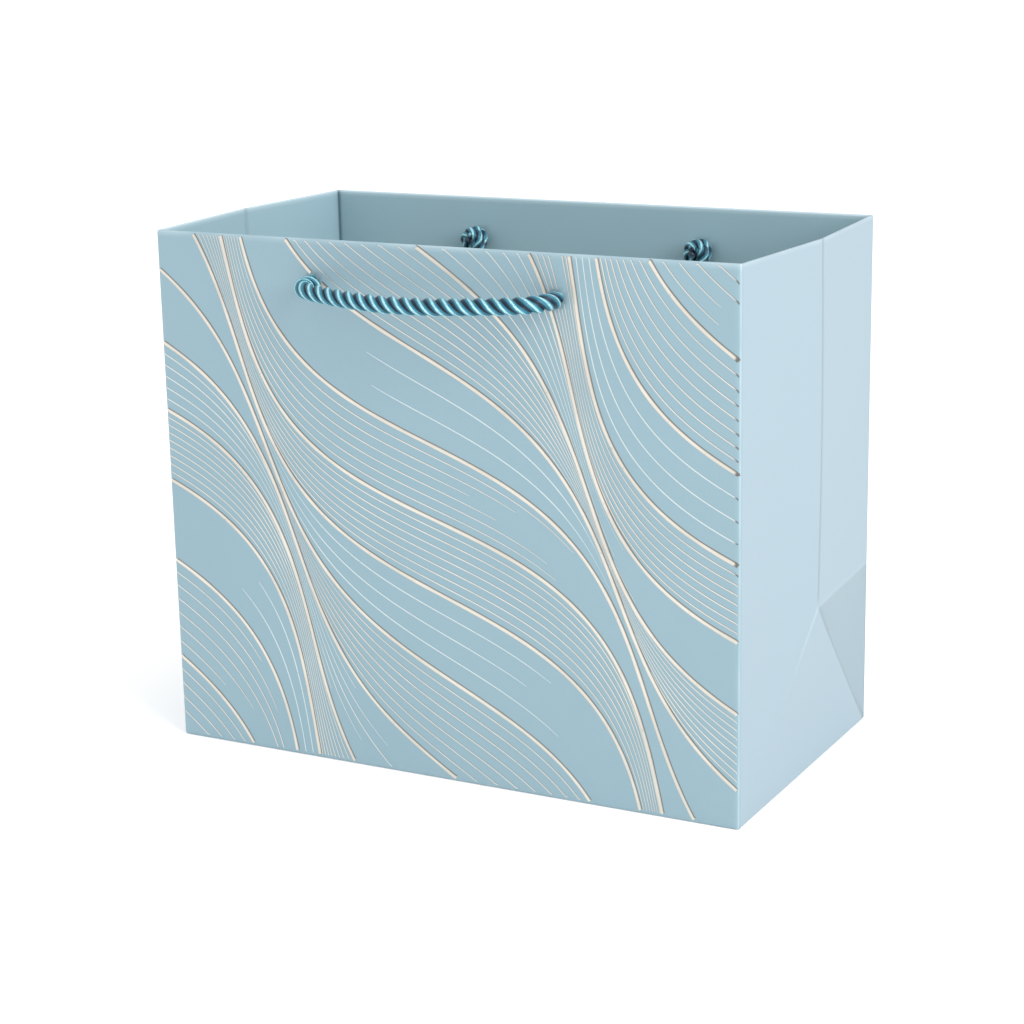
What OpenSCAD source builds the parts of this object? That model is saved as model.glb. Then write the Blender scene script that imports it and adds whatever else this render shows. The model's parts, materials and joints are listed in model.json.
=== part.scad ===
// Gift bag: a folded and glued paper bag with gussets, a block bottom and two rope handles.
// X runs along the width, the front panel faces -Y, Z is up, and the bag stands on z = 0.

/* [Bag] */
// Width of the front and back panels
bag_w = 220; // [150:1:300]
// Depth of the base, from front panel to back panel
bag_d = 120; // [90:1:160]
// Height from the base to the folded mouth
bag_h = 186; // [140:1:280]
// How far the gusset's centre crease stands out past the panel's edge
crease_out = 4; // [1:0.5:6]

/* [Paper] */
// Thickness of the laminated paper
paper_t = 0.4; // [0.3:0.05:0.6]
// Height of the hem turned in round the mouth
hem_h = 35; // [28:1:50]
// Thickness of the reinforcement cards inside the front and back hems
card_t = 0.8; // [0.5:0.1:1.5]
// Width of the glue tab that closes the tube
tab_w = 15; // [10:1:20]

/* [Base] */
// How far the front and back base flaps pass the middle line of the base
flap_lap = 15; // [8:1:25]
// How far the side base flaps reach in from the gussets
side_flap = 36; // [20:1:40]
// Thickness of the loose base card
base_card_t = 1; // [0.6:0.1:2]
// Gap all round the loose base card
base_card_gap = 2.5; // [1.5:0.5:5]

/* [Handles] */
// Diameter of the twisted rope
rope_d = 6; // [4:0.1:7.5]
// Depth of the holes' centres below the mouth
hole_drop = 15; // [12:1:20]
// Gap between the rope and the edge of its hole
hole_clear = 0.25; // [0.1:0.05:0.5]
// Gap between the rope's fixed end and its swinging stretch
swing_gap = 0.3; // [0.2:0.05:0.5]
// How much of its thickness the rope keeps where it is pulled tight in a knot
knot_squeeze = 0.85; // [0.7:0.05:1]
// Length of the rope's tail below each knot
tail_l = 11; // [6:1:16]

/* [Hidden] */
$fn = 48;

// half sizes of the body and the level of its mid fold, which is half the depth
half_w = bag_w / 2;
half_d = bag_d / 2;
fold_z = half_d;

// the gusset halves stand at a small angle to the side plane, and so does the foot triangle
crease_angle = atan(crease_out / half_d);
half_run = norm([half_d, crease_out]);
mitre = paper_t * tan(crease_angle);
crease_gap = 0.05;

// layers at the mouth, counted from the outer face of a panel
hem_face = 2 * paper_t + card_t;
side_gap = 0.1;
hem_end = half_w - paper_t - side_gap;
card_end = half_w - 2 * paper_t - side_gap;
card_top = bag_h - paper_t;

// layers of the base, from the floor up
front_flap_z = paper_t;
side_flap_z = 2 * paper_t;
base_card_z = 3 * paper_t;
flap_end = half_w - paper_t - side_gap;
flap_mitre = 12;

// rope and knots
rope_r = rope_d / 2;
hole_r = rope_r + hole_clear;
hole_z = bag_h - hole_drop;
pivot_out = rope_r + swing_gap;
stub_out = pivot_out - rope_r - swing_gap / 2;
knot_r = rope_r * knot_squeeze;
knot_turn_r = rope_r + hole_clear;
knot_step = 1.8 * knot_r;

// route of a handle's rope, from its left hole to its right one, hand laid:
// along the panel, out from the pivot line, and down under its own weight
handle_route = [
  [-46, 0, 0], [-45.6, 3, 0], [-44.5, 5.8, 0.1], [-42.6, 8.1, 0.2], [-40.2, 10, 0.3],
  [-37.5, 11.1, 0.5], [-32.5, 12.4, 0.8], [-26, 13.7, 1.2], [-18, 14.7, 1.6], [-10, 15.2, 1.9],
  [-2, 15.2, 2], [6, 14.8, 1.9], [14, 14, 1.7], [21, 13.1, 1.4], [27, 12.1, 1.1],
  [33, 10.9, 0.8], [38.2, 9.7, 0.5], [41, 8.7, 0.3], [43.1, 7.1, 0.2], [44.7, 5, 0.1],
  [45.7, 2.6, 0], [46, 0, 0]];
// the holes are where the route ends
hole_x = handle_route[len(handle_route) - 1].x;
rope_sides = 10;
end_steps = 3;

// one direction vector per route point, along the chord between its neighbours
function route_dir(route, i) =
  let (a = route[max(i - 1, 0)], b = route[min(i + 1, len(route) - 1)]) (b - a) / norm(b - a);

// the rope leaves its pivot square to the panel
function steady_dir(route, i) =
  i == 0 ? [0, -1, 0] : i == len(route) - 1 ? [0, 1, 0] : route_dir(route, i);

// ring of points round one place of the route
function ring(p, dir, r, sides) =
  let (side = cross(dir, [0, 0, 1]) / norm(cross(dir, [0, 0, 1])), up = cross(side, dir))
  [for (k = [0:sides - 1]) p + r * (cos(360 * k / sides) * side + sin(360 * k / sides) * up)];

// rings that round off the rope's end: place along the axis and size follow a quarter circle
function end_rings(p, dir, r, sides, order) =
  [for (k = order) let (a = 90 * k / (end_steps + 0.5))
    each ring(p - dir * r * sin(a), dir, r * cos(a), sides)];

// closed tube through a list of points, with round ends
module rope_tube(route, r, sides) {
  last = len(route) - 1;
  start = end_rings(route[0], steady_dir(route, 0), r, sides, [end_steps:-1:1]);
  middle = [for (i = [0:last]) each ring(route[i], steady_dir(route, i), r, sides)];
  finish = end_rings(route[last], -steady_dir(route, last), r, sides, [1:end_steps]);
  // the finish rings are turned the same way round as the others
  turned = [for (j = [0:end_steps - 1]) each
    [for (k = [0:sides - 1]) finish[j * sides + (sides * 1.5 - k) % sides]]];
  points = concat(start, middle, turned);
  rings = len(points) / sides;
  walls = [for (j = [0:rings - 2], k = [0:sides - 1])
    let (a = j * sides + k, b = j * sides + (k + 1) % sides) [a, a + sides, b + sides, b]];
  caps = [[for (k = [0:sides - 1]) k], [for (k = [sides - 1:-1:0]) (rings - 1) * sides + k]];
  polyhedron(points, concat(walls, caps), convexity = 4);
}

// upright sheet in the X-Z plane, its outer face at y = 0 and its thickness towards +Y
module upright(outline, thick) {
  rotate([90, 0, 0]) translate([0, 0, -thick]) linear_extrude(thick) polygon(outline);
}

// everything of the rear copies the front, turned half a turn about Z
module rear() { rotate([0, 0, 180]) children(); }

// everything of the left side mirrors the right
module left() { mirror([1, 0, 0]) children(); }

// the two rope holes of a panel, drilled along Y
module rope_holes() {
  for (x = [-hole_x, hole_x])
    translate([x, 0, hole_z]) rotate([90, 0, 0]) cylinder(h = 8, r = hole_r, center = true);
}

// front or back panel, one flat sheet down to the base
module panel() {
  translate([0, -half_d, 0]) difference() {
    upright([[-half_w, 0], [half_w, 0], [half_w, bag_h], [-half_w, bag_h]], paper_t);
    rope_holes();
  }
}

// places a sheet drawn along a gusset half, from the front edge towards the centre crease
module on_front_half(inset) {
  translate([half_w, -half_d, 0]) rotate([0, 0, 90 - crease_angle])
    translate([0, inset, 0]) children();
}

// places a sheet drawn along a gusset half, from the back edge towards the centre crease
module on_back_half(inset) {
  mirror([0, 1, 0]) on_front_half(inset) children();
}

// front half of a gusset, from the mouth down to the diagonal crease
module gusset_front() {
  run = half_run - mitre;
  on_front_half(0) upright([[paper_t, paper_t + crease_gap], [run, fold_z + crease_gap],
    [run, bag_h], [paper_t, bag_h]], paper_t);
}

// back half of a gusset above the level crease
module gusset_back() {
  run = half_run - mitre;
  on_back_half(0) upright([[paper_t, fold_z], [run, fold_z + crease_gap],
    [run, bag_h], [paper_t, bag_h]], paper_t);
}

// back corner of a gusset, the triangle between the level crease and the diagonal one
module gusset_corner() {
  on_back_half(0) upright([[paper_t, paper_t + crease_gap],
    [fold_z - crease_gap, fold_z - crease_gap], [fold_z - crease_gap, fold_z - crease_gap / 2],
    [paper_t, fold_z - crease_gap / 2]], paper_t);
}

// foot of a gusset, the triangle that leans out from the base up to the end of the centre crease
module gusset_foot() {
  edge = half_d - paper_t;
  tip = half_run - 2 * crease_gap;
  translate([half_w, 0, 0]) rotate([0, crease_angle, 0]) rotate([0, 0, 90])
    upright([[-edge, 0], [edge, 0], [edge, paper_t - crease_gap], [crease_gap, tip],
      [-crease_gap, tip], [-edge, paper_t - crease_gap]], paper_t);
}

// hem inside a front or back panel: the turned-in strip and the fold that caps the card
module hem_long() {
  translate([0, -half_d, 0]) difference() {
    union() {
      translate([-hem_end, hem_face - paper_t, bag_h - hem_h]) cube([2 * hem_end, paper_t, hem_h]);
      translate([-hem_end, paper_t, card_top]) cube([2 * hem_end, hem_face - paper_t, paper_t]);
    }
    rope_holes();
  }
}

// hem inside a gusset, one strip for each half
module hem_short() {
  run = half_run - 3 * mitre;
  strip = [[hem_face + side_gap, bag_h - hem_h], [run, bag_h - hem_h],
    [run, bag_h], [hem_face + side_gap, bag_h]];
  on_front_half(paper_t) upright(strip, paper_t);
  on_back_half(paper_t) upright(strip, paper_t);
}

// reinforcement card between a panel and its hem
module reinforcement() {
  translate([0, -half_d, 0]) difference() {
    translate([-card_end, paper_t, bag_h - hem_h])
      cube([2 * card_end, card_t, hem_h - paper_t]);
    rope_holes();
  }
}

// side base flap, cut at 45 degrees at both ends
module side_base_flap() {
  edge = half_d - paper_t - side_gap;
  translate([0, 0, side_flap_z]) linear_extrude(paper_t)
    polygon([[flap_end, -edge], [flap_end, edge], [flap_end - side_flap, edge - side_flap],
      [flap_end - side_flap, side_flap - edge]]);
}

// front or back base flap, lying at a given height, with its free corners cut off
module long_base_flap(z) {
  translate([0, 0, z]) linear_extrude(paper_t)
    polygon([[-flap_end, paper_t - half_d], [flap_end, paper_t - half_d],
      [flap_end, flap_lap - flap_mitre], [flap_end - flap_mitre, flap_lap],
      [flap_mitre - flap_end, flap_lap], [-flap_end, flap_lap - flap_mitre]]);
}

// glue tab inside the back panel at its left edge, up to the hem
module glue_tab() {
  tab_low = base_card_z + base_card_t;
  translate([paper_t + side_gap - half_w, half_d - 2 * paper_t, tab_low])
    cube([tab_w, paper_t, bag_h - hem_h - tab_low]);
}

// loose card on the base flaps
module base_board() {
  card_w = bag_w - 2 * paper_t - 2 * base_card_gap;
  card_d = bag_d - 2 * paper_t - 2 * base_card_gap;
  translate([-card_w / 2, -card_d / 2, base_card_z]) cube([card_w, card_d, base_card_t]);
}

// swinging stretch of a handle's rope, from pivot line to pivot line
module handle() {
  route = [for (p = handle_route) [p.x, -half_d - pivot_out - p.y, hole_z - p.z]];
  rope_tube(route, rope_r, rope_sides);
}

// fixed end of a rope: the stub through the hole, two turns of the knot behind it and the tail
module knot(x) {
  knot_y = hem_face - half_d + knot_r;
  translate([x, 0, hole_z]) {
    translate([0, -half_d - stub_out, 0]) rotate([-90, 0, 0])
      cylinder(h = knot_y + half_d + stub_out + knot_step + knot_r, r = rope_r);
    for (turn = [0:1])
      translate([0, knot_y + turn * knot_step, 0]) rotate([90, 0, 0])
        rotate_extrude() translate([knot_turn_r, 0]) circle(r = knot_r);
    translate([0, knot_y + knot_step, -knot_turn_r - tail_l]) cylinder(h = tail_l, r = rope_r);
  }
}

module front_panel() { color("#a0bcc8") panel(); }
module back_panel() { color("#a0bcc8") rear() panel(); }
module right_gusset_front() { color("#c4dce6") gusset_front(); }
module right_gusset_back() { color("#c4dce6") gusset_back(); }
module right_gusset_corner() { color("#b8d5dd") gusset_corner(); }
module right_gusset_foot() { color("#c4dce6") gusset_foot(); }
module left_gusset_front() { color("#c4dce6") left() gusset_front(); }
module left_gusset_back() { color("#c4dce6") left() gusset_back(); }
module left_gusset_corner() { color("#b8d5dd") left() gusset_corner(); }
module left_gusset_foot() { color("#c4dce6") left() gusset_foot(); }
module base_flap_right() { color("#9ab9c4") side_base_flap(); }
module base_flap_left() { color("#9ab9c4") left() side_base_flap(); }
module base_flap_front() { color("#a0bcc8") long_base_flap(front_flap_z); }
module base_flap_back() { color("#a0bcc8") rear() long_base_flap(0); }
module side_glue_tab() { color("#9ab9c4") glue_tab(); }
module hem_front() { color("#84a5b6") hem_long(); }
module hem_back() { color("#84a5b6") rear() hem_long(); }
module hem_right() { color("#9bbac5") hem_short(); }
module hem_left() { color("#9bbac5") left() hem_short(); }
module front_card() { color("#d9d6cc") reinforcement(); }
module back_card() { color("#d9d6cc") rear() reinforcement(); }
module base_card() { color("#d9d6cc") base_board(); }
module front_handle() { color("#1f8fb0") handle(); }
module back_handle() { color("#1f8fb0") rear() handle(); }
module front_knot_left() { color("#1f8fb0") knot(-hole_x); }
module front_knot_right() { color("#1f8fb0") knot(hole_x); }
module back_knot_left() { color("#1f8fb0") rear() knot(hole_x); }
module back_knot_right() { color("#1f8fb0") rear() knot(-hole_x); }

front_panel();
back_panel();
right_gusset_front();
right_gusset_back();
right_gusset_corner();
right_gusset_foot();
left_gusset_front();
left_gusset_back();
left_gusset_corner();
left_gusset_foot();
base_flap_right();
base_flap_left();
base_flap_front();
base_flap_back();
side_glue_tab();
hem_front();
hem_back();
hem_right();
hem_left();
front_card();
back_card();
base_card();
front_handle();
back_handle();
front_knot_left();
front_knot_right();
back_knot_left();
back_knot_right();
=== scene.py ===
# Gift bag: paper skins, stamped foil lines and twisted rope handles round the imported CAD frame
import bpy, bmesh, json, math
import numpy as np
from mathutils import Matrix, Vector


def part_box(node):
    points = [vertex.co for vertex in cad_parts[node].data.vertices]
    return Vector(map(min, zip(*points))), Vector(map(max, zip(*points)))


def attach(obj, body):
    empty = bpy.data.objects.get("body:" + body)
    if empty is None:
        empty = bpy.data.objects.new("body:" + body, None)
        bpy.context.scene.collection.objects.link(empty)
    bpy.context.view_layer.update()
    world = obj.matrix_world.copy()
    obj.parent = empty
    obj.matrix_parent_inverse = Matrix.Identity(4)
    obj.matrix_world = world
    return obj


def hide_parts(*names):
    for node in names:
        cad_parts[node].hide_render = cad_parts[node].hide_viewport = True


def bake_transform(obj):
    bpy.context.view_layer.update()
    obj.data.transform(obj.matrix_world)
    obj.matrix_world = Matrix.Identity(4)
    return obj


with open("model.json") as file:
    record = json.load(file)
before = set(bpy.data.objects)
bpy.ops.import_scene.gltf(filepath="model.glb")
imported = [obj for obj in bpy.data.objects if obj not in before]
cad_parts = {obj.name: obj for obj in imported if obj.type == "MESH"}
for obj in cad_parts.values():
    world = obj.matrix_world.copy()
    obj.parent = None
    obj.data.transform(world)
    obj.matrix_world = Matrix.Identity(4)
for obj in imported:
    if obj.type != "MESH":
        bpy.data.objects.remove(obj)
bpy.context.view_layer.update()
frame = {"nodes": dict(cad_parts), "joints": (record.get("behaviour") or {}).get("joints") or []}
mm = 0.001

# driving sizes, all read off the frame
panelLow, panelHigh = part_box("front_panel")
halfW, halfD, height = panelHigh[0], -panelLow[1], panelHigh[2]
paperT = panelHigh[1] - panelLow[1]
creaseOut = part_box("right_gusset_front")[1][0] - halfW      # how far the gusset's middle stands out
foldZ = halfD                                               # 45 degree creases meet this high
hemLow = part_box("hem_front")[0][2]
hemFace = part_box("hem_front")[1][1] + halfD                 # hem's inner face behind the panel's outer one
swing = next(j for j in frame["joints"] if j["name"] == "front_handle_swing")
pivotY, holeZ = swing["pos_m"][1], swing["pos_m"][2]
holeX = (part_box("front_knot_right")[0][0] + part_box("front_knot_right")[1][0]) / 2

# camera: its place, how far it is turned from +Y, dipped below level and rolled, in degrees, and its lens
cameraSetup = dict(place=(0.3889, -0.7331, 0.2990), turn=28.17, dip=14.69, roll=-1.16, lens=83.7)


def setCamera(setup):
    eye = bpy.data.objects.new("eye", bpy.data.cameras.new("eye"))
    bpy.context.scene.collection.objects.link(eye)
    eye.data.lens = setup["lens"]
    eye.data.clip_start = 0.01
    eye.matrix_world = (Matrix.Translation(setup["place"])
                        @ Matrix.Rotation(math.radians(setup["turn"]), 4, "Z")
                        @ Matrix.Rotation(math.radians(90 - setup["dip"]), 4, "X")
                        @ Matrix.Rotation(math.radians(setup["roll"]), 4, "Z"))
    bpy.context.scene.camera = eye


setCamera(cameraSetup)
print("camera set")


# shader building: sums on a Wire add Math nodes
class Wire:
    def __init__(self, paint, socket):
        self.paint, self.socket = paint, socket

    def maths(self, operation, first, second=0.0):
        return self.paint.node("ShaderNodeMath", dict(operation=operation), {0: first, 1: second})

    def __add__(self, other): return self.maths("ADD", self, other)
    def __radd__(self, other): return self.maths("ADD", other, self)
    def __sub__(self, other): return self.maths("SUBTRACT", self, other)
    def __rsub__(self, other): return self.maths("SUBTRACT", other, self)
    def __mul__(self, other): return self.maths("MULTIPLY", self, other)
    def __rmul__(self, other): return self.maths("MULTIPLY", other, self)


class Paint:
    def __init__(self, name):
        self.material = bpy.data.materials.new(name)
        self.material.use_nodes = True
        self.tree = self.material.node_tree
        self.shader = self.tree.nodes["Principled BSDF"]

    # any node: its type, its settings first, then its inputs as numbers, colours or wires
    def node(self, kind, settings={}, inputs={}, output=0):
        made = self.tree.nodes.new(kind)
        for key, value in settings.items():
            setattr(made, key, value)
        self.feed(made, inputs)
        return Wire(self, made.outputs[output])

    def feed(self, node, inputs):
        for key, value in inputs.items():
            if isinstance(value, Wire):
                self.tree.links.new(value.socket, node.inputs[key])
            else:
                node.inputs[key].default_value = value

    def place(self):
        return self.node("ShaderNodeTexCoord", output=3)

    def unwrapped(self):
        return self.node("ShaderNodeTexCoord", output=2)

    def mark(self, name):
        return self.node("ShaderNodeAttribute", dict(attribute_name=name), output=2)

    def noise(self, vector, scale, detail=4.0, roughness=0.55):
        return self.node("ShaderNodeTexNoise", {}, {"Vector": vector, "Scale": scale, "Detail": detail,
                                                    "Roughness": roughness})

    def stretch(self, vector, scale):
        return self.node("ShaderNodeMapping", {}, {"Vector": vector, "Scale": scale})

    def fade(self, value, low, high):
        return self.node("ShaderNodeMapRange", dict(interpolation_type="SMOOTHSTEP"),
                         {"Value": value, "From Min": low, "From Max": high})

    def mix(self, share, first, second):
        return self.node("ShaderNodeMix", dict(data_type="RGBA"), {0: share, 6: first, 7: second}, output=2)

    def bump(self, height, strength, distance):
        return self.node("ShaderNodeBump", {}, {"Strength": strength, "Distance": distance, "Height": height})


def tint(colour, factor=1.0):
    return (colour[0] * factor, colour[1] * factor, colour[2] * factor, 1.0)


# the bag's coated art paper: matt film over a pale blue print, whiter where folds are worn and where
# highlights are painted along edges, lip and creases, darker where shade is painted
def paintPaper(name, colour, rubHighlightTint, grain=1.0):
    paint = Paint(name)
    place = paint.place()
    fibres = paint.noise(place, 1300.0, 5.0)
    mottle = paint.noise(place, 26.0, 3.0)
    cloud = paint.noise(place, 7.0, 2.0)
    base = paint.mix(mottle, tint(colour, 0.965), tint(colour, 1.035))
    base = paint.mix(paint.fade(fibres, 0.35, 0.75) * 0.30, base, tint(colour, 1.08))
    warmer = tint((colour[0] * 1.03, colour[1], colour[2] * 0.985))
    base = paint.mix(paint.fade(cloud, 0.42, 0.70) * 0.35, base, warmer)
    # lighter where the paper is worn, and painted highlights along the edges, lip and creases
    base = paint.mix(paint.mark("rubAndHighlight") * (0.55 + 0.45 * fibres), base, tint(rubHighlightTint))
    # painted shade: darker in creases, inner corners, round the holes and over the gusset's back corner
    base = paint.mix(paint.mark("shade") * 0.55, base, tint(colour, 0.55))
    paint.feed(paint.shader, {
        "Base Color": base, "Roughness": 0.46 + 0.16 * mottle + 0.08 * fibres, "Specular IOR Level": 0.5,
        "Normal": paint.bump(fibres * 0.6 + paint.noise(place, 420.0, 3.0) * 0.8, 0.10 * grain, 0.0003)})
    return paint.material


# uncoated back of the sheet: warm white with visible fibres
def paintRawPaper(name, colour):
    paint = Paint(name)
    place = paint.place()
    fibres = paint.noise(paint.stretch(place, (1.0, 1.0, 2.2)), 700.0, 6.0, 0.65)
    specks = paint.noise(place, 2600.0, 2.0)
    base = paint.mix(fibres, tint(colour, 0.93), tint(colour, 1.04))
    base = paint.mix(paint.fade(specks, 0.66, 0.74) * 0.35, base, tint(colour, 0.70))
    paint.feed(paint.shader, {"Base Color": base, "Roughness": 0.78 + 0.12 * fibres,
                              "Specular IOR Level": 0.25, "Normal": paint.bump(fibres, 0.25, 0.0003)})
    return paint.material


# grey board of the stiffening cards: pressed pulp with darker flecks
def paintBoard(name, colour):
    paint = Paint(name)
    place = paint.place()
    pulp = paint.noise(place, 480.0, 6.0, 0.7)
    flecks = paint.noise(paint.stretch(place, (1.0, 2.6, 1.0)), 1500.0, 2.0)
    base = paint.mix(pulp, tint(colour, 0.88), tint(colour, 1.08))
    base = paint.mix(paint.fade(flecks, 0.64, 0.72) * 0.5, base, tint(colour, 0.55))
    paint.feed(paint.shader, {"Base Color": base, "Roughness": 0.85, "Specular IOR Level": 0.2,
                              "Normal": paint.bump(pulp, 0.35, 0.0004)})
    return paint.material


# hot-stamped champagne foil: bright metal, darkened along its pressed edges by painted shade, most on the
# side towards shadeSide, and by a painted dark reflection near the corner fold, slightly broken by the
# paper's grain
def paintFoil(name, colour, edge, pale):
    paint = Paint(name)
    place = paint.place()
    grain = paint.noise(place, 900.0, 4.0)
    drift = paint.noise(place, 40.0, 2.0)
    base = paint.mix(paint.fade(drift, 0.35, 0.65), tint(colour, 0.93), tint(colour, 1.05))
    base = paint.mix(paint.mark("pale"), base, tint(pale))
    # painted shade along the ribbons' edges and a painted dark reflection near the corner fold
    base = paint.mix(paint.fade(paint.mark("edge"), 0.12, 0.75) * 0.85, base, tint(edge))
    base = paint.mix(paint.fade(grain, 0.60, 0.80) * 0.30, base, tint(edge))
    paint.feed(paint.shader, {"Base Color": base, "Metallic": 0.85 - 0.25 * paint.mark("pale"),
                              "Roughness": 0.34 + 0.22 * grain,
                              "Normal": paint.bump(grain, 0.12, 0.0002)})
    return paint.material


# satin cord: fine glossy filaments wound along each strand, darker between them; painted shade darkens the
# gaps between strands and painted highlights sit on the strands' crowns
def paintRope(name, colour, deep, bright):
    paint = Paint(name)
    place = paint.place()
    along = paint.node("ShaderNodeSeparateXYZ", {}, {"Vector": paint.unwrapped()})
    around = paint.node("ShaderNodeSeparateXYZ", {}, {"Vector": paint.unwrapped()}, output=1)
    threads = along.maths("SINE", around * 132.0 + along * 3.6) * 0.5 + 0.5
    fuzz = paint.noise(place, 1500.0, 3.0)
    crown = paint.mark("crown")
    # painted shade: the colour falls to the dark tint towards the gaps between strands
    base = paint.mix(paint.fade(crown, 0.08, 0.60), tint(deep), tint(colour))
    base = paint.mix(paint.fade(threads * 0.6 + fuzz * 0.4, 0.55, 0.10) * 0.55, base, tint(deep, 1.6))
    # painted highlights: a bright glint on each strand's crown
    paintedGlints = paint.fade(crown, 0.84, 0.98) * paint.fade(threads * 0.5 + fuzz * 0.5, 0.2, 0.6)
    base = paint.mix(paintedGlints, base, tint(bright))
    paint.feed(paint.shader, {"Base Color": base, "Metallic": 0.15, "Roughness": 0.24 + 0.16 * fuzz,
                              "Specular IOR Level": 0.7, "Sheen Weight": 0.06, "Sheen Roughness": 0.4,
                              "Normal": paint.bump(threads + 0.4 * fuzz, 0.6, 0.00014)})
    return paint.material


# side is the blue paper made greyer for the gussets, a painted sheen; hem is the blue paper made lighter for
# the shaded inside of the turn-over, painted light
finishes = dict(blue=(0.235, 0.357, 0.418), side=(0.253, 0.337, 0.392), hem=(0.262, 0.404, 0.470),
                rubHighlightTint=(0.50, 0.62, 0.68), raw=(0.72, 0.71, 0.67), board=(0.46, 0.43, 0.38),
                foil=(0.69, 0.655, 0.59), foilEdge=(0.09, 0.088, 0.084), foilPale=(0.54, 0.67, 0.71),
                rope=(0.015, 0.205, 0.305), ropeShade=(0.001, 0.020, 0.046), ropeHighlight=(0.50, 0.90, 0.95))
bluePaper = paintPaper("bluePaper", finishes["blue"], finishes["rubHighlightTint"])
sheenedSidePaper = paintPaper("sheenedSidePaper", finishes["side"], finishes["rubHighlightTint"])
lightenedHemPaper = paintPaper("lightenedHemPaper", finishes["hem"], finishes["rubHighlightTint"], 0.7)
rawPaper = paintRawPaper("rawPaper", finishes["raw"])
greyBoard = paintBoard("greyBoard", finishes["board"])
champagneFoil = paintFoil("champagneFoil", finishes["foil"], finishes["foilEdge"], finishes["foilPale"])
satinRope = paintRope("satinRope", finishes["rope"], finishes["ropeShade"], finishes["ropeHighlight"])
print("finishes mixed")


# meshes from arrays: rows x columns x 3 points become quads that face columns x rows
def gridFaces(rows, columns, start=0, wrap=False):
    i, j = np.meshgrid(np.arange(rows - 1), np.arange(columns - (0 if wrap else 1)), indexing="ij")
    k = (j + 1) % columns
    quads = np.stack([i * columns + j, i * columns + k, (i + 1) * columns + k, (i + 1) * columns + j], -1)
    return start + quads.reshape(-1, 4)


def newPiece(name, points, faces, materials, marks={}, unwrap=None):
    mesh = bpy.data.meshes.new(name)
    mesh.from_pydata(points.reshape(-1, 3).tolist(), [], faces.tolist())
    mesh.polygons.foreach_set("use_smooth", np.ones(len(mesh.polygons), bool))
    for key, values in marks.items():
        layer = mesh.attributes.new(key, "FLOAT", "POINT")
        layer.data.foreach_set("value", values.astype(np.float32).ravel())
    if unwrap is not None:
        corner = np.zeros(len(mesh.loops), np.int32)
        mesh.loops.foreach_get("vertex_index", corner)
        layer = mesh.uv_layers.new(name="unwrapped")
        layer.data.foreach_set("uv", unwrap.reshape(-1, 2)[corner].astype(np.float32).ravel())
    for each in materials:
        mesh.materials.append(each)
    mesh.update()
    piece = bpy.data.objects.new(name, mesh)
    bpy.context.scene.collection.objects.link(piece)
    return piece


def weld(piece, gap):
    # merges points closer than gap and makes the faces agree
    joined = bmesh.new()
    joined.from_mesh(piece.data)
    bmesh.ops.remove_doubles(joined, verts=joined.verts, dist=gap)
    bmesh.ops.recalc_face_normals(joined, faces=joined.faces)
    joined.to_mesh(piece.data)
    joined.free()


def faceTowards(piece, direction):
    # flips the whole piece if its faces look away from that direction
    normals = np.zeros(3 * len(piece.data.polygons), np.float32)
    piece.data.polygon_normals.foreach_get("vector", normals)
    if (normals.reshape(-1, 3) @ np.array(direction)).mean() < 0:
        piece.data.flip_normals()


def thicken(piece, thickness, inside=1):
    # a second face behind the first one, with the sheet's other finish
    wall = piece.modifiers.new("sheet", "SOLIDIFY")
    wall.thickness, wall.offset, wall.material_offset = thickness, -1, inside
    return piece


def smoothStep(low, high, x):
    t = np.clip((x - low) / (high - low), 0, 1)
    return t * t * (3 - 2 * t)


def slowWaves(a, b, size, seed):
    # mean of three crossed sine waves of about that length
    angles = np.array([0.4, 1.7, 2.9]) + seed
    return sum(np.sin((a * np.cos(q) + b * np.sin(q)) * 2 * np.pi / (size * (0.8 + 0.3 * k)) + seed * (k + 1))
               for k, q in enumerate(angles)) / 3


def halfTurn(points):
    return points * np.array([-1.0, -1.0, 1.0])


def curveThrough(points, step):
    # Catmull-Rom curve through the points, then even steps along its length
    p = np.asarray(points, float)
    p = np.vstack([2 * p[0] - p[1], p, 2 * p[-1] - p[-2]])
    t = np.linspace(0, 1, 24, endpoint=False)[None, :, None]
    a, b, c, d = (p[k:len(p) - 3 + k, None, :] for k in range(4))
    square, cube = 2 * a - 5 * b + 4 * c - d, 3 * b - a - 3 * c + d
    dense = 0.5 * (2 * b + (c - a) * t + square * t ** 2 + cube * t ** 3)
    dense = np.vstack([dense.reshape(-1, p.shape[1]), p[-2]])
    run = np.concatenate([[0], np.cumsum(np.linalg.norm(np.diff(dense, axis=0), axis=1))])
    even = np.linspace(0, run[-1], max(8, int(round(run[-1] / step)) + 1))
    return np.stack([np.interp(even, run, dense[:, k]) for k in range(p.shape[1])], -1), even


# rope handles: route from the left hole to the right one, along the panel, out from the pivot line and down
handle = dict(route=[(-46, 0, 0), (-45.6, 3, 0), (-44.5, 5.8, 0.1), (-42.6, 8.1, 0.2), (-40.2, 10, 0.3),
                     (-37.5, 11.1, 0.5), (-32.5, 12.4, 0.8), (-26, 13.7, 1.2), (-18, 14.7, 1.6),
                     (-10, 15.2, 1.9), (-2, 15.2, 2), (6, 14.8, 1.9), (14, 14, 1.7), (21, 13.1, 1.4),
                     (27, 12.1, 1.1), (33, 10.9, 0.8), (38.2, 9.7, 0.5), (41, 8.7, 0.3), (43.1, 7.1, 0.2),
                     (44.7, 5, 0.1), (45.7, 2.6, 0), (46, 0, 0)],
              diameter=6 * mm, strandOut=1.52 * mm, strandDeep=1.42 * mm, strandWide=1.62 * mm,
              lay=13.2 * mm, into=11 * mm, straight=5 * mm, blendOut=4.2 * mm, step=0.4 * mm, sides=18,
              phase=0.3)
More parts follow.
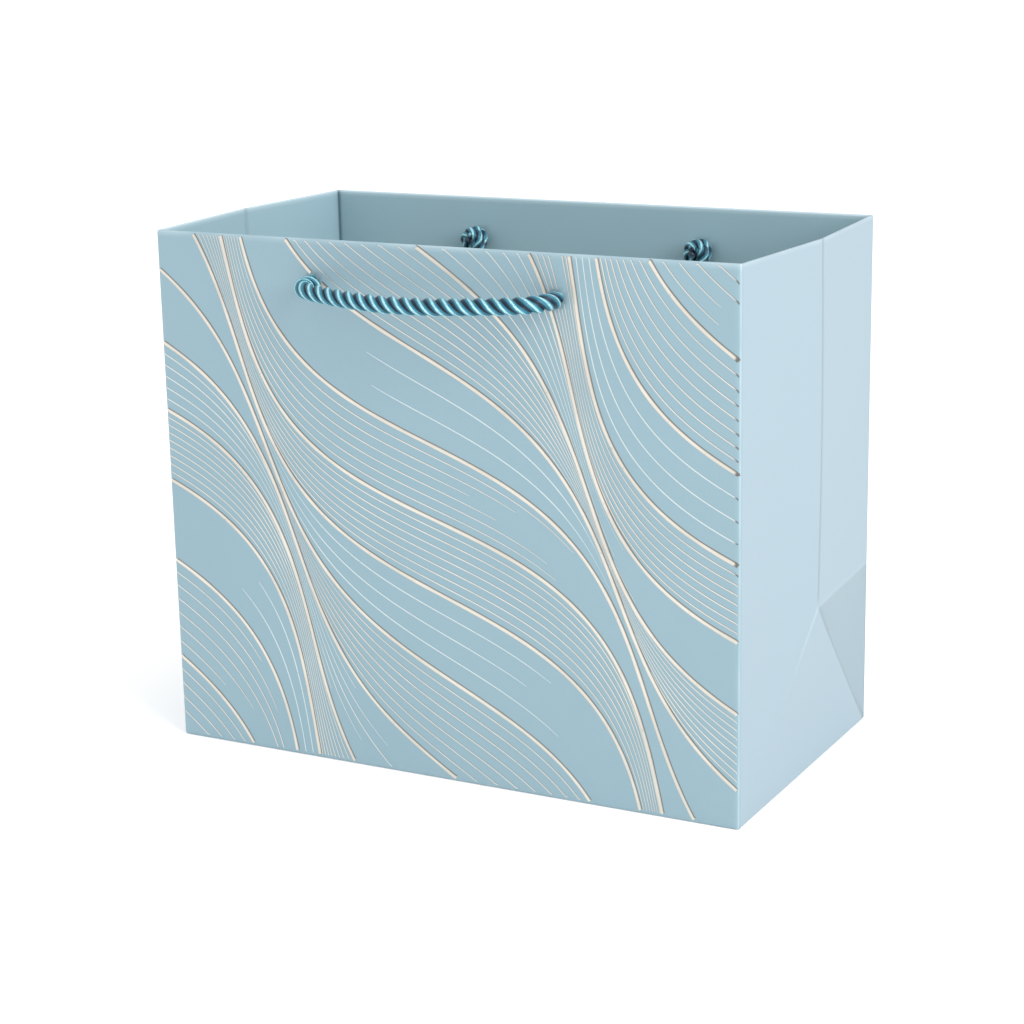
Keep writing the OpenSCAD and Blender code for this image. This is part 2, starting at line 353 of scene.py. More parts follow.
# knots: a coil about Y behind the hem, which opens and sags over its first share, then a tail (across, down)
knot = dict(turnR=2.9 * mm, turns=1.9, opens=0.3, sag=0.9 * mm, clear=2.7 * mm, deep=4.4 * mm, deepFrom=0.12,
            tail=12.8 * mm, tailBack=0.2 * mm,
            tailRoute=[(0.02, 0.25), (0.10, 0.5), (0.35, 0.75), (0.5, 1.0)],
            strandOut=1.18 * mm, strandDeep=1.10 * mm, strandWide=1.30 * mm, lay=10.5 * mm, step=0.35 * mm,
            sides=16, phase=0.6, fray=0.35, frayLength=4 * mm)


def twistStrands(name, path, run, shape, fixed, phase, spread):
    # strand k: path + spread strandOut (cos q side + sin q up), q = phase - 2 pi run / lay + 2 pi k / 3;
    # its skin adds strandDeep cos w outwards and strandWide sin w round the rope, rounded off at both ends;
    # side is square to the path and to the fixed direction
    tangent = np.gradient(path, axis=0)
    tangent /= np.linalg.norm(tangent, axis=1)[:, None]
    side = np.cross(tangent, fixed)
    side /= np.linalg.norm(side, axis=1)[:, None]
    up = np.cross(side, tangent)
    w = np.linspace(0, 2 * np.pi, shape["sides"], endpoint=False)
    end = np.minimum(run, run[-1] - run) / shape["strandDeep"]
    cap = np.sqrt(np.clip(1 - (1 - np.clip(end, 0, 1)) ** 2, 0, 1))
    points, faces, crown, unwrap = [], [], [], []
    for k in range(3):
        q = (phase - 2 * np.pi * run / shape["lay"] + 2 * np.pi * k / 3)[:, None]
        out = np.cos(q) * side + np.sin(q) * up
        around = -np.sin(q) * side + np.cos(q) * up
        middle = path + shape["strandOut"] * spread[:, None] * out
        deep = shape["strandDeep"] * np.cos(w)[None, :, None] * out[:, None, :]
        wide = shape["strandWide"] * np.sin(w)[None, :, None] * around[:, None, :]
        ring = middle[:, None, :] + cap[:, None, None] * (deep + wide)
        faces.append(gridFaces(len(run), len(w), start=len(run) * len(w) * k, wrap=True))
        points.append(ring)
        # crown is 1 on each strand's outer face, turned a little round it; it places the painted highlights
        # and the painted shade of the gaps
        crown.append(np.broadcast_to(np.clip(np.cos(w - 0.25), 0, 1)[None, :], ring.shape[:2]))
        unwrap.append(np.stack(np.broadcast_arrays(run[:, None] / mm, (w / (2 * np.pi))[None, :]), -1))
    piece = newPiece(name, np.stack(points), np.vstack(faces), [satinRope], dict(crown=np.stack(crown)),
                     np.stack(unwrap))
    weld(piece, 0.0005 * mm)
    return piece


def tieKnot(side, end, s, turned):
    # the rope winds out from the hole in its coil, then its tail hangs down; s is the hole's side, -1 or 1
    total = 2 * np.pi * knot["turns"]
    angle = np.linspace(0, total, 60)
    opened = smoothStep(0, knot["opens"], angle / total)
    radius, low = knot["turnR"] * opened, knot["sag"] * opened
    depth = -halfD + hemFace + knot["clear"] + knot["deep"] * smoothStep(knot["deepFrom"], 1.0, angle / total)
    q = np.pi - total + angle
    coil = np.stack([s * holeX + radius * np.cos(q), depth, holeZ - low + radius * np.sin(q)], -1)
    across, down = np.array(knot["tailRoute"]).T
    tail = np.stack([s * holeX - knot["turnR"] * (1 - across), depth[-1] + knot["tailBack"] * down,
                     holeZ - low[-1] - knot["tail"] * down], -1)
    path, run = curveThrough(np.vstack([coil, tail]), knot["step"])
    path = halfTurn(path) if turned else path
    spread = 1 + knot["fray"] * smoothStep(run[-1] - knot["frayLength"], run[-1], run)
    piece = twistStrands(f"{side}_knot_rope_{end}", path, run, knot, (0, 1, 0), knot["phase"] * s, spread)
    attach(piece, "bag")
    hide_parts(f"{side}_knot_{end}")
    return piece


def layHandle(side, turned):
    # the rope runs straight in through both holes to the knots behind the hem
    route = [(x * mm, pivotY - out * mm, holeZ - down * mm) for x, out, down in handle["route"]]
    depths = (handle["into"] - halfD, handle["straight"] - halfD, -halfD)
    ends = [(s * holeX, y, holeZ) for s in (-1, 1) for y in depths]
    path, run = curveThrough(ends[:3] + route + ends[:2:-1], handle["step"])
    knots = [tieKnot(side, end, s, turned) for s, end in ((-1, "left"), (1, "right"))]
    path = halfTurn(path) if turned else path
    rope = twistStrands(f"{side}_handle_rope", path, run, handle, (0, 0, 1), handle["phase"],
                        np.ones_like(run))
    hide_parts(f"{side}_handle")
    turnBack = -1 if turned else 1
    turnBack * (pivotY - handle["blendOut"])
    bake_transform(rope)
    print(f"{side} handle laid, rope {run[-1] / mm:.0f} mm from knot to knot")


layHandle("front", False)
layHandle("back", True)

# paper walls: edge rounds, bow and slow waves of the faces, the heights over which the glued foot and the hem
# hold the sheet, grid sizes and the sheet's thickness as drawn
wall = dict(cornerRound=0.7 * mm, footRound=0.6 * mm, lipRise=0.7 * mm, bow=0.8 * mm, wave=0.22 * mm,
            glued=30 * mm, hemHold=6 * mm, grid=1.4 * mm, gussetGrid=1.0 * mm, sheet=0.3 * mm,
            hemUneven=0.25 * mm)
# worn edges and lip with painted highlights there, the back panel's level fold with painted shade below it,
# painted shade rings round the holes and at the hem's ends
wearAndPaintedLight = dict(edge=0.40, edgeHalf=0.5 * mm, lip=0.6, lipFrom=1.3 * mm, lipTo=0.4 * mm, foldDeep=0.15 * mm,
            foldHalf=0.8 * mm, foldRub=0.45, foldRubHalf=0.7 * mm, foldShade=0.30, foldShadeLow=1.2 * mm,
            ring=3.2 * mm, ringHalf=0.7 * mm, hemRing=3.4 * mm, hemRingHalf=0.9 * mm, hemEnd=0.45,
            hemEndHalf=2.2 * mm)
# gusset: how far its back half bulges in, the front half's share of that, the groove and its wandering, the
# dent of the back corner, and half widths of the creases with their distance from the 45 degree line
gusset = dict(bulge=0.35 * mm, bulgeFront=-0.4, wave=0.12 * mm, groove=0.34 * mm, grooveHalf=0.55 * mm,
              drift=1.6 * mm, dent=2.1 * mm, backHalf=0.7 * mm, backOff=0.3 * mm, frontHalf=0.8 * mm,
              levelHalf=0.6 * mm, secondHalf=0.5 * mm, secondOff=2.0 * mm)
flatEnd = halfW - wall["cornerRound"]
gussetEnd = halfD - wall["cornerRound"]


def softLine(x, half):
    # exp(-(x / half)^2), a soft line about x = 0
    return np.exp(-(x / half) ** 2)


def fromHole(x, z):
    # distance from the middle of the nearer hole
    return np.hypot(abs(x) - holeX, z - holeZ)


def wallHold(z):
    # 1 on the free sheet, 0 at the glued foot and on the stiff hem
    below = 1 - smoothStep(hemLow - wall["glued"], hemLow + wall["hemHold"], z)
    return smoothStep(0, wall["glued"], z) * below


def panelFace(s, z):
    # x = flat + r sin a, y = -halfD + r - r cos a round each edge; between them the face stands out by
    # (bow (1 - (x / flat)^2) + wave slowWaves) * hold, all fading at the edges
    r = wall["cornerRound"]
    a = np.clip((abs(s) - flatEnd) / r, 0, np.pi / 2)
    x = np.sign(s) * (np.minimum(abs(s), flatEnd) + r * np.sin(a))
    free = 1 - np.clip(abs(s) / flatEnd, 0, 1) ** 6
    bowed = wall["bow"] * (1 - np.clip(s / flatEnd, -1, 1) ** 2) + wall["wave"] * slowWaves(s, z, 0.09, 0.6)
    y = -halfD + r - r * np.cos(a) - bowed * free * wallHold(z)
    inward = np.stack(np.broadcast_arrays(-np.sign(s) * np.sin(a), np.cos(a)), -1)
    return np.stack(np.broadcast_arrays(x, y, z), -1), inward


def panelInner(s):
    x = np.clip(s, -(halfW - 2 * paperT), halfW - 2 * paperT)
    return np.stack([x, np.full_like(x, -halfD + hemFace)], -1)


def gussetFace(c, z):
    # c runs -1 to 1 across, front to back; x = halfW + creaseOut min(1 - |c|, z / foldZ), less the bulge of
    # each half, the grooves and the dent
    out, back, y = 1 - abs(c), c > 0, gussetEnd * c
    humps = np.sin(np.pi * abs(c))
    rise = np.clip(z / foldZ, 0, 1)
    drift = gusset["drift"] * np.sin(np.pi * np.clip((z - foldZ) / (height - foldZ), 0, 1)) * out
    free = smoothStep(foldZ, foldZ + 50 * mm, z) * (1 - smoothStep(hemLow - 40 * mm, hemLow, z))
    x = halfW + creaseOut * np.minimum(out, rise)
    x = x - gusset["bulge"] * humps * free * np.where(back, 1, gusset["bulgeFront"])
    x = x + gusset["wave"] * slowWaves(y, z, 0.05, 2.2) * humps * wallHold(z)
    # creases: the centre line above the fold, the 45 degree lines below it, the level fold of the back half
    diagonal = (z / foldZ - out) * foldZ / math.sqrt(2)
    below = 1 - smoothStep(foldZ - 1 * mm, foldZ + 2 * mm, z)
    line = softLine(y, gusset["grooveHalf"]) * smoothStep(foldZ - 1 * mm, foldZ + 4 * mm, z)
    backCrease = softLine(diagonal - gusset["backOff"], gusset["backHalf"]) * back * below
    frontCrease = softLine(diagonal, gusset["frontHalf"]) * (c <= 0) * below
    level = softLine(z - foldZ, gusset["levelHalf"]) * back
    second = softLine(diagonal - gusset["secondOff"], gusset["secondHalf"]) * (c > 0.08) * below
    second = second * smoothStep(0.1, 0.5, out)
    # dent of the back corner triangle: 4 b1 b2 / (b1 + b2) of its shares of the crease point and of the foot
    b1, b2 = np.clip(1 - c, 0, 1), np.clip(1 - z / foldZ, 0, 1)
    b3 = np.clip(1 - b1 - b2, 0, 1)
    dent = gusset["dent"] * 4 * b1 * b2 / np.maximum(1 - b3, 1e-6) * smoothStep(-0.2 * mm, 0.9 * mm, diagonal)
    x = x - gusset["groove"] * (line + 0.8 * backCrease + 0.35 * level) + 0.12 * mm * frontCrease
    x = x - dent * back * (z < foldZ)
    # painted shade over the back corner triangle below the level fold
    under = 1 - smoothStep(foldZ - 0.6 * mm, foldZ + 0.2 * mm, z)
    corner = back * under * smoothStep(-0.1 * mm, 0.8 * mm, diagonal)
    # painted shade along the centre groove, the back crease and a second line beside it, and over the back
    # corner triangle
    shade = 0.95 * line + 1.3 * backCrease * (0.35 + 0.65 * abs(c)) + 0.6 * second + 0.46 * corner
    # lighter along the level fold and the front crease: worn paper and painted highlight
    rubAndHighlight = 0.18 * level + 0.30 * frontCrease * smoothStep(0.45, 0.0, abs(c))
    inward = np.stack([np.full_like(c, -1.0), np.zeros_like(c)], -1)
    points = np.stack(np.broadcast_arrays(x, y + drift, z), -1)
    return points, inward, np.clip(shade, 0, 1), np.clip(rubAndHighlight, 0, 1)


def gussetInner(c):
    x = halfW + creaseOut * (1 - abs(c)) - 2 * paperT
    y = np.clip(gussetEnd * c, -(halfD - hemFace), halfD - hemFace)
    return np.stack([x, y], -1)


def wallRows(step):
    # heights and insets of the rows: quarter round at the foot, straight wall, quarter round over the lip
    foot, lip = wall["footRound"], wall["lipRise"]
    a = np.linspace(0, np.pi / 2, 5)[:-1]
    z = np.linspace(foot, height - lip, int((height - foot - lip) / step) + 1)
    b = np.linspace(0, np.pi / 2, 6)[1:]
    rise = np.concatenate([foot * (1 - np.cos(a)), z, height - lip + lip * np.sin(b)])
    inset = np.concatenate([foot * (1 - np.sin(a)), np.zeros(len(z) + len(b))])
    pull = np.concatenate([np.zeros(len(a) + len(z)), (1 - np.cos(b)) / 2])
    return rise[:, None], inset[:, None, None], pull[:, None, None]


def edgeRubAndHighlight(u, z):
    # lighter paper along the vertical edges and the lip, worn and with painted highlight; u is the distance
    # to an edge
    rough = 0.6 + 0.4 * slowWaves(u, z, 0.021, 1.3)
    lip = smoothStep(height - wearAndPaintedLight["lipFrom"], height - wearAndPaintedLight["lipTo"], z)
    return (wearAndPaintedLight["edge"] * softLine(u, wearAndPaintedLight["edgeHalf"]) + wearAndPaintedLight["lip"] * lip) * rough


def closeOver(points, inner, inward, inset, pull):
    points = points.copy()
    points[..., :2] += inward * inset + (inner[None] - points[..., :2]) * pull
    return points


def buildPanel(name, turned):
    # columns: a quarter round at each edge, four steps each, and the flat between them
    bend = np.linspace(0, 1, 5) * wall["cornerRound"] * np.pi / 2
    flat = np.linspace(-flatEnd, flatEnd, int(2 * flatEnd / wall["grid"]) + 1)
    s = np.concatenate([-flatEnd - bend[:0:-1], flat, flatEnd + bend[1:]])[None, :]
    z, inset, pull = wallRows(wall["grid"])
    points, inward = panelFace(s, z)
    rubAndHighlight = edgeRubAndHighlight(abs(abs(s) - flatEnd - bend[-1] / 2), z) * np.ones_like(points[..., 0])
    shade = np.zeros_like(rubAndHighlight)
    if turned:
        # the level fold that lets the empty bag lie flat, worn along it, with painted shade just below it
        points[..., 1] += wearAndPaintedLight["foldDeep"] * softLine(z - foldZ, wearAndPaintedLight["foldHalf"])
        rubAndHighlight = np.clip(rubAndHighlight + wearAndPaintedLight["foldRub"] * softLine(z - foldZ, wearAndPaintedLight["foldRubHalf"]), 0, 1)
        shade += wearAndPaintedLight["foldShade"] * softLine(z - foldZ + wearAndPaintedLight["foldShadeLow"], wearAndPaintedLight["foldHalf"])
    # painted shade in a ring round each hole
    ring = softLine(fromHole(points[..., 0], points[..., 2]) - wearAndPaintedLight["ring"], wearAndPaintedLight["ringHalf"])
    shade = np.clip(shade + ring, 0, 1)
    points = closeOver(points, panelInner(s[0]), inward, inset, pull)
    points = halfTurn(points) if turned else points
    piece = newPiece(name, points, gridFaces(*points.shape[:2]), [bluePaper, rawPaper],
                     dict(rubAndHighlight=rubAndHighlight, shade=shade))
    return thicken(piece, wall["sheet"])


def buildGusset(name, mirrored):
    c = np.linspace(-1, 1, 2 * int(gussetEnd / wall["gussetGrid"]) + 1)[None, :]
    z, inset, pull = wallRows(wall["gussetGrid"])
    points, inward, shade, rubAndHighlight = gussetFace(c, z)
    rubAndHighlight = np.clip(rubAndHighlight + 0.5 * edgeRubAndHighlight((1 - abs(c)) * gussetEnd + 1 * mm, z), 0, 1)
    points = closeOver(points, gussetInner(c[0]), inward, inset, pull)
    if mirrored:
        points, rubAndHighlight, shade = points[:, ::-1] * np.array([-1.0, 1, 1]), rubAndHighlight[:, ::-1], shade[:, ::-1]
    piece = newPiece(name, points, gridFaces(*points.shape[:2]), [sheenedSidePaper, rawPaper],
                     dict(rubAndHighlight=rubAndHighlight, shade=shade))
    return thicken(piece, wall["sheet"])


def buildHem(name, outer, inner, turned, mirrored, marked):
    # the sheet turned over the lip: a round from the outer to the inner points, then down to its cut edge
    lip, columns = wall["lipRise"], len(outer)
    a = np.linspace(np.pi / 2, np.pi, 6)[:, None]
    middle, half = (outer + inner) / 2, (outer - inner) / 2
    tops = np.broadcast_to(height - lip + lip * np.sin(a)[..., None], (len(a), columns, 1))
    over = np.concatenate([middle + half * np.cos(a)[..., None], tops], -1)
    down = np.linspace(height - lip, hemLow, 26)[1:, None]
    uneven = wall["hemUneven"] * slowWaves(inner[:, 0], inner[:, 1], 0.03, 0.9)
    edge = uneven * smoothStep(hemLow + 10 * mm, hemLow, down)
    face = np.concatenate([np.broadcast_to(inner, (len(down), columns, 2)), (down + edge)[..., None]], -1)
    points = np.concatenate([over, face])
    # lighter along the lip, worn and with painted highlight, and worn at the cut edge below
    lipRubAndHighlight = 0.9 * smoothStep(height - 1.2 * mm, height - 0.3 * mm, points[..., 2])
    rubAndHighlight = np.clip(lipRubAndHighlight + 0.7 * smoothStep(hemLow + 0.5 * mm, hemLow, points[..., 2]), 0, 1)
    shade = marked(points)
    if mirrored:
        points, rubAndHighlight, shade = points[:, ::-1] * np.array([-1.0, 1, 1]), rubAndHighlight[:, ::-1], shade[:, ::-1]
    points = halfTurn(points) if turned else points
    piece = newPiece(name, points, gridFaces(*points.shape[:2]), [lightenedHemPaper, rawPaper],
                     dict(rubAndHighlight=rubAndHighlight, shade=shade))
    return thicken(piece, wall["sheet"])


def holeShade(points):
    # painted shade at the hem's ends in the inner corners and in a ring round each hole
    ends = wearAndPaintedLight["hemEnd"] * softLine(halfW - abs(points[..., 0]), wearAndPaintedLight["hemEndHalf"])
    return ends + softLine(fromHole(points[..., 0], points[..., 2]) - wearAndPaintedLight["hemRing"], wearAndPaintedLight["hemRingHalf"])


def creaseShade(points):
    # painted shade along the gusset's centre crease and at the hem's ends in the inner corners
    ends = softLine(abs(points[..., 1]) - (halfD - hemFace), 2.0 * mm)
    return np.clip(0.6 * softLine(points[..., 1], 0.7 * mm) + 0.35 * ends, 0, 1)


def wallPieces():
    made = {}
    for name, node, turned in (("front_skin", "front_panel", False), ("back_skin", "back_panel", True)):
        made[name] = buildPanel(name, turned)
        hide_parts(node)
    for side, mirrored in (("right", False), ("left", True)):
        name = f"{side}_gusset_skin"
        made[name] = buildGusset(name, mirrored)
        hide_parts(*[f"{side}_gusset_{part}" for part in ("front", "back", "corner", "foot")])
    s = np.linspace(-1, 1, 81)
    top = height - wall["lipRise"]
    outer = panelFace(s * (flatEnd + wall["cornerRound"] * np.pi / 2), np.full_like(s, top))[0][:, :2]
    inner = panelInner(s * (flatEnd + wall["cornerRound"] * np.pi / 2))
    c = np.linspace(-1, 1, 61)
    sideOuter, sideInner = gussetFace(c, np.full_like(c, top))[0][:, :2], gussetInner(c)
    for name, turned in (("hem_front", False), ("hem_back", True)):
        made[name] = buildHem(name + "_sheet", outer, inner, turned, False, holeShade)
    for name, mirrored in (("hem_right", False), ("hem_left", True)):
        made[name] = buildHem(name + "_sheet", sideOuter, sideInner, False, mirrored, creaseShade)
    for name in ("hem_front", "hem_back", "hem_right", "hem_left"):
        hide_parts(name)
    for piece in made.values():
        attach(piece, "bag")


wallPieces()
print("walls and hems folded")

# base: folded flaps under the bag, the glued seam inside and the loose card
base = dict(mitre=12 * mm, foldInset=0.4 * mm, climbFrom=-30 * mm, climbTo=-17 * mm, lift=0.02 * mm,
            flapSheet=0.3 * mm, innerSheet=0.25 * mm, sideMitre=0.8, sideInset=0.5 * mm, sideShort=0.3 * mm,
            sideNarrow=0.2 * mm, sideDip=0.08 * mm, sideWave=0.05 * mm, seamLift=0.22 * mm,
            seamWave=0.25 * mm, cardWarp=0.105 * mm, cardSquare=14, cardInset=0.3 * mm, cardDeep=0.85)


def longFlap(name, node, y0, y1, lift):
    # rows run from the fold at y0 to the free edge at y1, where the mitre takes off the corners; lift(y) is z
    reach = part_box("base_flap_front")[1][0]
    y = np.linspace(y0, y1, 41)[:, None]
    c = np.linspace(-1, 1, 91)[None, :]
    atFold = base["foldInset"] * (y == y0)
    x = c * (reach - np.clip(base["mitre"] - abs(y1 - y), 0, None) - atFold)
    points = np.stack(np.broadcast_arrays(x, y, lift(y)), -1)
    edge = softLine(abs(c) - 1, 0.006) + smoothStep(0.97, 1.0, abs(y - y0) / abs(y1 - y0))
    piece = newPiece(name, points, gridFaces(*points.shape[:2]), [bluePaper, rawPaper],
                     dict(rubAndHighlight=0.5 * np.clip(edge + 0 * x, 0, 1), shade=0 * x))
    faceTowards(piece, (0, 0, -1))
    thicken(piece, base["flapSheet"])
    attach(piece, "bag")
    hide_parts(node)


def sideFlap(side, sign):
    # lies on the long flaps, its outer fold at the gusset's foot
    low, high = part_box(f"base_flap_{side}")
    reachIn = high[0] - low[0]
    t = np.linspace(0, 1, 31)[:, None]
    c = np.linspace(-1, 1, 61)[None, :]
    cut = base["sideMitre"] * np.clip(base["mitre"] - (1 - t) * reachIn, 0, None)
    y = c * (high[1] - base["sideNarrow"] - cut)
    x = sign * (halfW - base["sideInset"] - t * (reachIn - base["sideShort"])) + 0 * c
    dip = base["sideDip"] * (1 - np.cos(np.pi * np.clip(1 - 6 * t, 0, 1)))
    z = high[2] - 0.05 * mm - dip + base["sideWave"] * slowWaves(x, y, 0.06, 1.1)
    points = np.stack(np.broadcast_arrays(x, y, z), -1)
    rim = np.clip(softLine(abs(c) - 1, 0.01) + smoothStep(0.97, 1, t), 0, 1)
    piece = newPiece(f"{side}_base_sheet", points, gridFaces(*points.shape[:2]), [rawPaper, bluePaper],
                     dict(rubAndHighlight=0.4 * rim, shade=0 * rim))
    faceTowards(piece, (0, 0, 1))
    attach(thicken(piece, base["innerSheet"]), "bag")
    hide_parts(f"base_flap_{side}")


def glueTab():
    # a strip of the side sheet stuck inside the back panel, its free edge just lifting
    low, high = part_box("side_glue_tab")
    z = np.linspace(low[2], high[2] - 0.2 * mm, 61)[:, None]
    share = np.linspace(0, 1, 17)[None, :]
    x = low[0] + (high[0] - low[0]) * share + base["seamWave"] * slowWaves(z, z, 0.05, 0.4) * share
    lifted = smoothStep(high[0] - 3 * mm, high[0], x) * (0.6 + 0.4 * slowWaves(z, 0 * z, 0.07, 0.2))
    points = np.stack(np.broadcast_arrays(x, high[1] - paperT - base["seamLift"] * lifted, z), -1)
    seam = np.zeros(points.shape[:2])
    piece = newPiece("glued_seam", points, gridFaces(*points.shape[:2]), [rawPaper],
                     dict(rubAndHighlight=seam, shade=seam))
    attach(thicken(piece, base["innerSheet"], 0), "bag")
    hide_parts("side_glue_tab")


def looseCard():
    # rings inside |x/a|^cardSquare + |y/b|^cardSquare = 1, slightly warped
    low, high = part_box("base_card")
    ring = np.linspace(0, 2 * np.pi, 160, endpoint=False)[None, :]
    share = np.linspace(1, 0, 30)[:, None] ** 0.8
    a, b, n = high[0] - base["cardInset"], high[1] - base["cardInset"], 2 / base["cardSquare"]
    x = a * share * np.sign(np.cos(ring)) * abs(np.cos(ring)) ** n
    y = b * share * np.sign(np.sin(ring)) * abs(np.sin(ring)) ** n
    z = high[2] - 0.02 * mm - base["cardWarp"] * (1 + slowWaves(x, y, 0.16, 0.7)) / 2
    points = np.stack(np.broadcast_arrays(x, y, z), -1)
    piece = newPiece("base_card_board", points, gridFaces(*points.shape[:2], wrap=True), [greyBoard])
    weld(piece, 0.001 * mm)
    faceTowards(piece, (0, 0, 1))
    thicken(piece, (high[2] - low[2]) * base["cardDeep"], 0)
    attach(piece, "base_card")
    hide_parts("base_card")


def buildBase():
    fold = halfD - wall["footRound"]
    longFlap("front_base_sheet", "base_flap_front", -fold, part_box("base_flap_front")[1][1],
             lambda y: (paperT + base["lift"]) * smoothStep(base["climbFrom"], base["climbTo"], y))
    longFlap("back_base_sheet", "base_flap_back", fold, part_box("base_flap_back")[0][1], lambda y: 0 * y)
    sideFlap("right", 1)
    sideFlap("left", -1)
    glueTab()
    looseCard()


buildBase()
for node in ("front_card", "back_card"):
    frame["nodes"][node].data.materials.clear()
    frame["nodes"][node].data.materials.append(greyBoard)
print("base folded")

# stamped pattern, a made-up field of slanted waves: outlines close in to leaf tips where two waves draw near;
# the strips between them carry fine lines, some dense and bright, some few and pale (count, pale, from, to)
flow = dict(tilt=2.24, gap=20 * mm, swing=17 * mm, reach=36 * mm, turn=0.78, slowSwing=13 * mm,
            slowReach=70 * mm, slowTurn=0.36, span=205 * mm, strips=9, outline=1.6 * mm, fine=0.50 * mm,
            room=1.4, leastRoom=0.3, scatter=0.05)
strips = [(7, 0.2, 0, 1), (3, 0.7, 0.30, 0.66), (7, 0.1, 0, 0.62), (5, 0.5, 0.40, 1), (8, 0.3, 0, 1),
          (2, 0.8, 0.34, 0.60), (6, 0.2, 0.45, 1)]
# shadeSide is the side of the lines that gets painted shade; the last entry is how far in from the corner
# fold the painted dark reflection reaches
foil = dict(lift=0.0225 * mm, crown=0.10 * mm, crownFrom=0.6 * mm, step=1.0 * mm, taper=0.35, uneven=0.10,
            shadeSide=(0.8, 0.6), holeGap=3.8 * mm, topGap=0.75 * mm, footGap=1.2 * mm, cornerReflection=1.8 * mm)


def flowLine(s):
    # across = gap s + swing sin(along/reach + turn s) + slowSwing sin(along/slowReach - slowTurn s), tilted
    along = np.arange(-flow["span"], flow["span"], foil["step"])
    across = (flow["gap"] * s + flow["swing"] * np.sin(along / flow["reach"] + flow["turn"] * s)
              + flow["slowSwing"] * np.sin(along / flow["slowReach"] - flow["slowTurn"] * s))
    c, d = math.cos(flow["tilt"]), math.sin(flow["tilt"])
    return np.stack([along * c - across * d, height / 2 + along * d + across * c], -1)


def drawRibbon(line, width, room, cut, pale):
    # half width = room width/2 (taper + (1 - taper) sqrt(sin pi t)), not tapered where the sheet cuts it;
    # points u across, crowned by lift + crown (1 - u^2); the edge mark, painted shade, is u times the cosine
    # between the line's side and shadeSide, and is strong near the corner fold in the upper half as a painted
    # dark reflection
    share = np.linspace(0, 1, len(line))
    body = np.sqrt(np.clip(np.sin(np.pi * share), 0, 1))
    body = np.where(share < 0.5, np.maximum(body, cut[0]), np.maximum(body, cut[1]))
    half = width / 2 * (foil["taper"] + (1 - foil["taper"]) * body) * room
    half = half * (1 + foil["uneven"] * slowWaves(line[:, 0], line[:, 1], 0.017, width / mm))
    along = np.gradient(line, axis=0)
    along /= np.linalg.norm(along, axis=1)[:, None] + 1e-12
    across = np.stack([along[:, 1], -along[:, 0]], -1)
    u = np.linspace(-1, 1, 5 if width == flow["outline"] else 3)[None, :]
    flat = line[:, None, :] + across[:, None, :] * (u * half[:, None])[..., None]
    skin = panelFace(flat[..., 0], flat[..., 1])[0]
    crown = foil["crown"] * np.minimum(1, half[:, None] / foil["crownFrom"])
    skin[..., 1] -= foil["lift"] + crown * (1 - u ** 2)
    turned = u * (across @ np.array(foil["shadeSide"]))[:, None]
    edge = (1 - 0.6 * pale) * np.maximum(turned, 0.35 * abs(u))
    # painted dark reflection at the lines near the corner fold, in the upper half
    corner = smoothStep(flatEnd - foil["cornerReflection"], flatEnd, line[:, :1]) * (line[:, 1:] > height * 0.45)
    return skin, np.clip(np.maximum(edge, 0.95 * corner), 0, 1), np.full(skin.shape[:2], pale)


def drawStroke(curve, width, room, start, end, pale):
    # the curve from start to end, as shares of its length, where it lies on the flat and clear of the holes
    t = np.linspace(0, 1, len(curve))
    x, z = curve.T
    top, foot = height - foil["topGap"], foil["footGap"]
    keep = (abs(x) <= flatEnd) & (z >= foot) & (z <= top) & (t >= start) & (t <= end)
    keep &= fromHole(x, z) > foil["holeGap"]
    marks = np.flatnonzero(np.diff(np.concatenate([[False], keep, [False]])))
    ribbons = []
    for first, last in zip(marks[::2], marks[1::2] - 1):
        if last - first < 4:
            continue
        cut = (first > 0 and t[first - 1] > start, last < len(t) - 1 and t[last + 1] < end)
        run = slice(max(0, first - int(cut[0])), min(len(t), last + int(cut[1]) + 1))
        line = np.stack([np.clip(x[run], -flatEnd, flatEnd), np.clip(z[run], foot, top)], -1)
        ribbons.append(drawRibbon(line, width, room[run], cut, pale))
    return ribbons


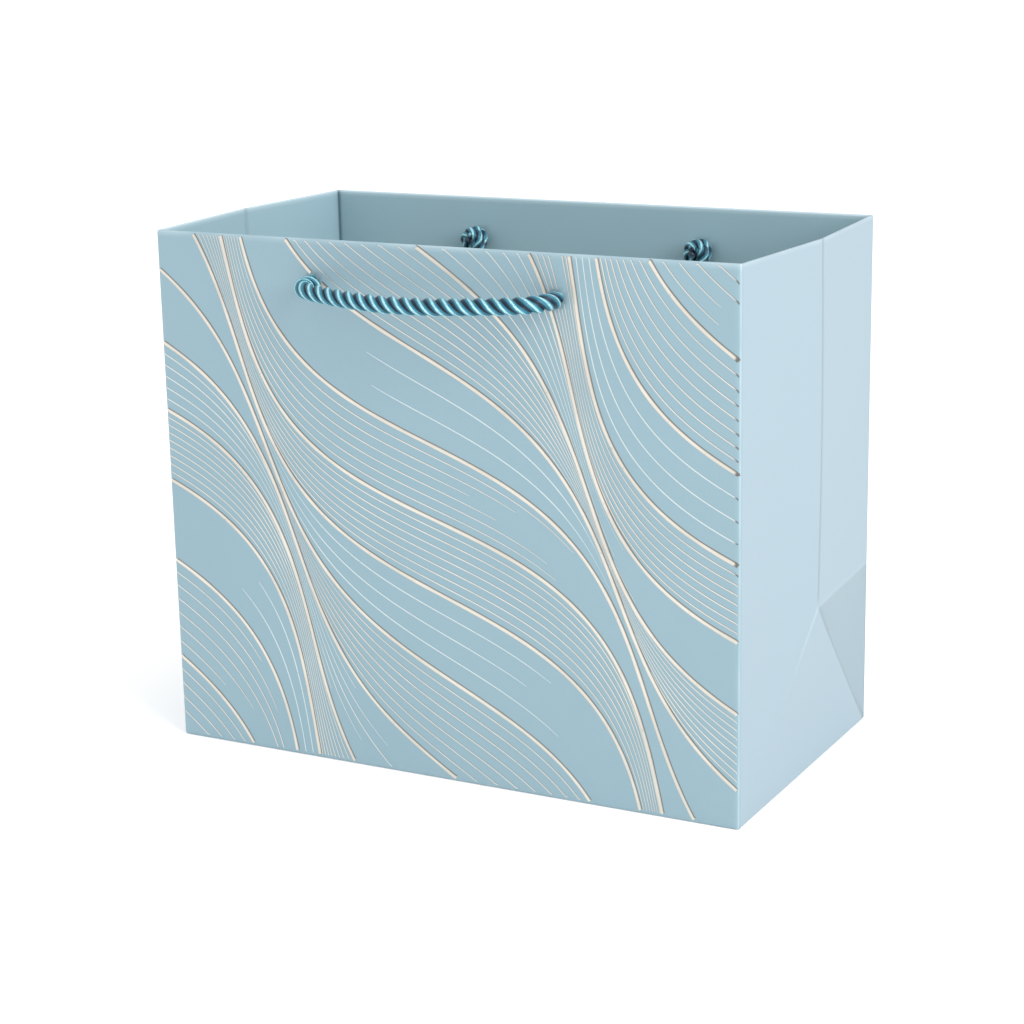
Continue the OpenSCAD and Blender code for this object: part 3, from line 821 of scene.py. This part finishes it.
def stampFoil(name, turned):
    ribbons = []
    for s in range(-flow["strips"], flow["strips"] + 1):
        line = flowLine(s)
        ribbons += drawStroke(line, flow["outline"], np.ones(len(line)), 0, 1, 0.0)
        # fine lines get thinner where their strip narrows
        strip = np.linalg.norm(flowLine(s + 1) - line, axis=-1)
        room = np.clip(flow["room"] * strip / flow["gap"], flow["leastRoom"], 1)
        count, pale, start, end = strips[s % len(strips)]
        for i in range(count):
            offset = flow["scatter"] * math.sin(5.1 * i + 2.3 * s)
            ribbons += drawStroke(flowLine(s + (i + 1) / (count + 1)), flow["fine"], room,
                                  start + offset * (start > 0), end + offset * (end < 1), pale)
    starts = np.cumsum([0] + [edge.size for _, edge, _ in ribbons])
    faces = [gridFaces(*edge.shape, start=begin) for (_, edge, _), begin in zip(ribbons, starts)]
    points = np.concatenate([skin.reshape(-1, 3) for skin, _, _ in ribbons])
    edge = np.concatenate([edge.ravel() for _, edge, _ in ribbons])
    pale = np.concatenate([pale.ravel() for _, _, pale in ribbons])
    points = halfTurn(points) if turned else points
    piece = newPiece(name, points, np.vstack(faces), [champagneFoil], dict(pale=pale, edge=edge))
    faceTowards(piece, (0, 1 if turned else -1, 0))
    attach(piece, "bag")


stampFoil("front_foil", False)
stampFoil("back_foil", True)
print("foil stamped")

# studio: white floor and surround, a soft key from the right that favours the gusset
studio = dict(floor=(0.93, 0.93, 0.93), surround=1.10, floorGlow=0.12, floorHalf=4.0, floorDrop=0.2 * mm,
              keyPlace=(1.6, -0.55, 0.95), keySize=1.1, keyPower=26.0, keyAim=90 * mm,
              keyColour=(1.0, 0.985, 0.96))


def setStudio():
    paint = Paint("paleFloor")
    mottle = paint.noise(paint.place(), 6.0, 2.0)
    colour = paint.mix(mottle, tint(studio["floor"]), tint(studio["floor"], 1.02))
    paint.feed(paint.shader, {"Base Color": colour, "Roughness": 0.9, "Specular IOR Level": 0.1,
                              "Emission Color": (1, 1, 1, 1), "Emission Strength": studio["floorGlow"]})
    span = np.linspace(-studio["floorHalf"], studio["floorHalf"], 9)
    x, y = np.meshgrid(span, span)
    floor = newPiece("floor", np.stack([x, y, np.full_like(x, -studio["floorDrop"])], -1), gridFaces(9, 9),
                     [paint.material])
    world = bpy.data.worlds.new("surround")
    world.use_nodes = True
    background = world.node_tree.nodes["Background"]
    background.inputs["Color"].default_value = (1, 1, 1, 1)
    background.inputs["Strength"].default_value = studio["surround"]
    bpy.context.scene.world = world
    key = bpy.data.objects.new("key", bpy.data.lights.new("key", "AREA"))
    key.data.energy, key.data.size = studio["keyPower"], studio["keySize"]
    key.data.color = studio["keyColour"]
    # the key looks at the middle of the bag
    x, y, z = studio["keyPlace"]
    key.matrix_world = (Matrix.Translation((x, y, z))
                        @ Matrix.Rotation(math.atan2(y, x) + math.pi / 2, 4, "Z")
                        @ Matrix.Rotation(math.atan2(math.hypot(x, y), z - studio["keyAim"]), 4, "X"))
    bpy.context.scene.collection.objects.link(key)
    bpy.context.scene.view_settings.view_transform = "Standard"


setStudio()
print("studio lit")
